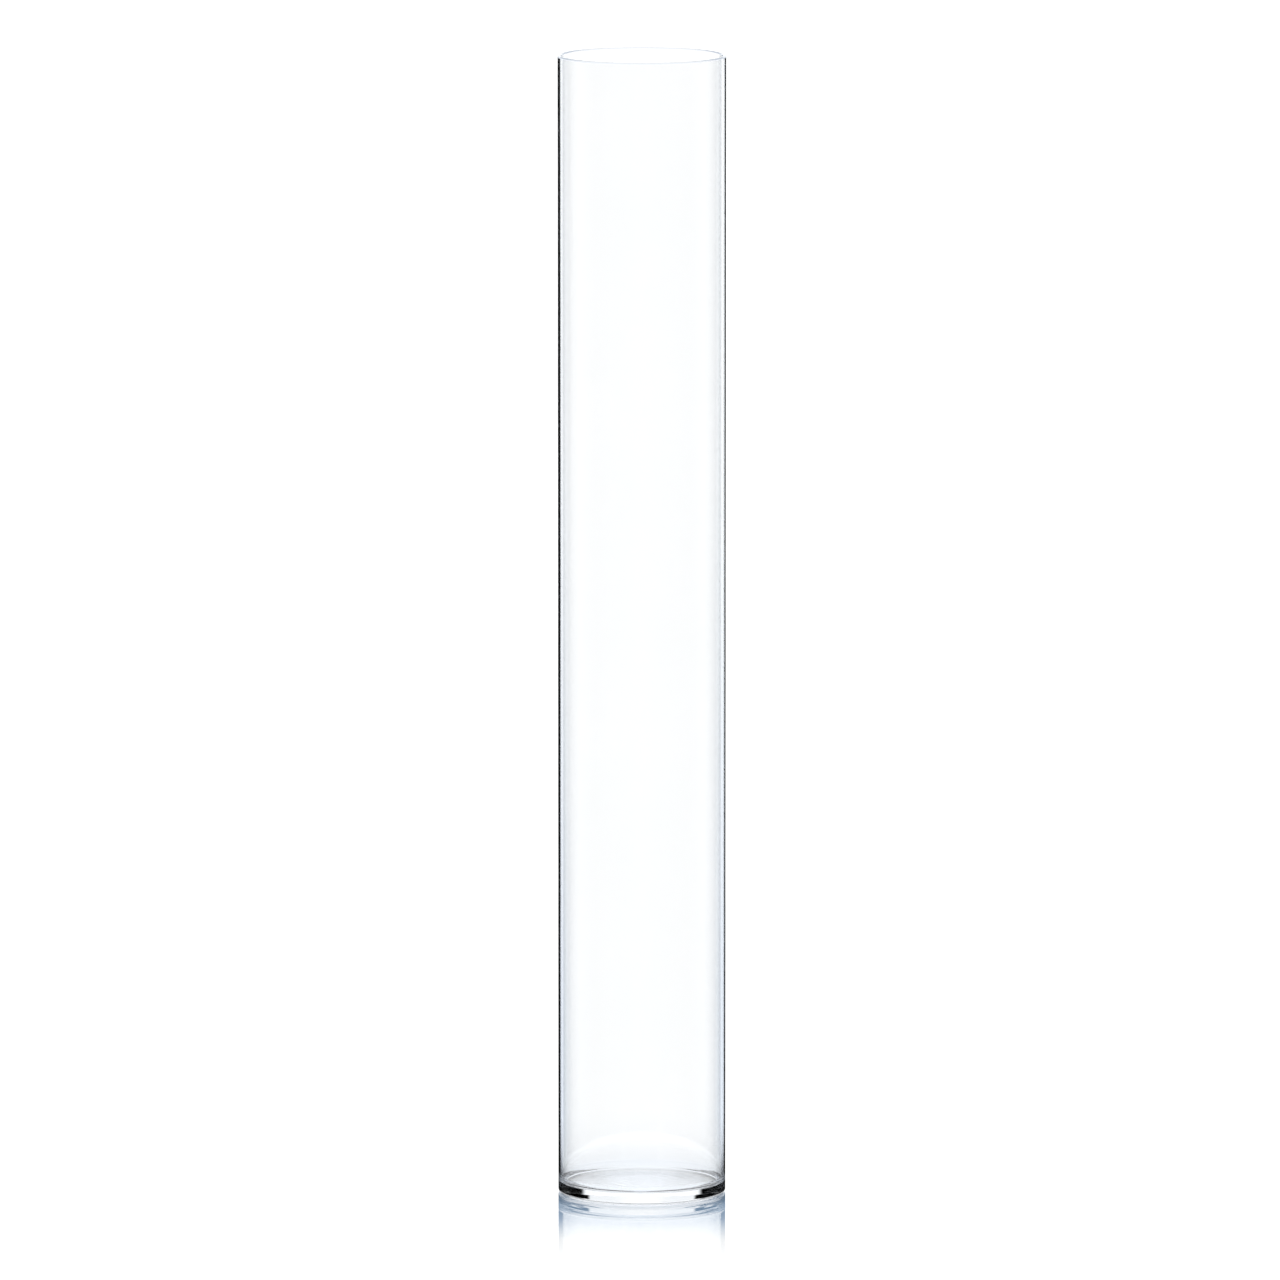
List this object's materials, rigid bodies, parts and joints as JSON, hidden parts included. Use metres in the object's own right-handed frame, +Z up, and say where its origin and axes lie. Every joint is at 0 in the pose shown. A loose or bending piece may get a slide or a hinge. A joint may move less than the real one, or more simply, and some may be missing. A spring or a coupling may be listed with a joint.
{
  "type": "cylinder vase",
  "caption": "Tall clear glass cylinder vase: a straight round wall with a rounded rim on a thick flat base, open at the top to hold water and long flower stems.",
  "frame": {"origin": "middle of the foot, on the surface that the vase stands on", "axes": "+Z up along the vase's axis, towards the open mouth; +X and +Y are alike, because the vase is round"},
  "size_m": [0.0892, 0.0892, 0.6096],
  "materials": {
    "clear_glass": "polished, clear, with a faint blue-grey tint where the glass is thick"
  },
  "bodies": {
    "root": {"cylinder_wall": "clear_glass", "base_disc": "clear_glass"}
  },
  "joints": []
}
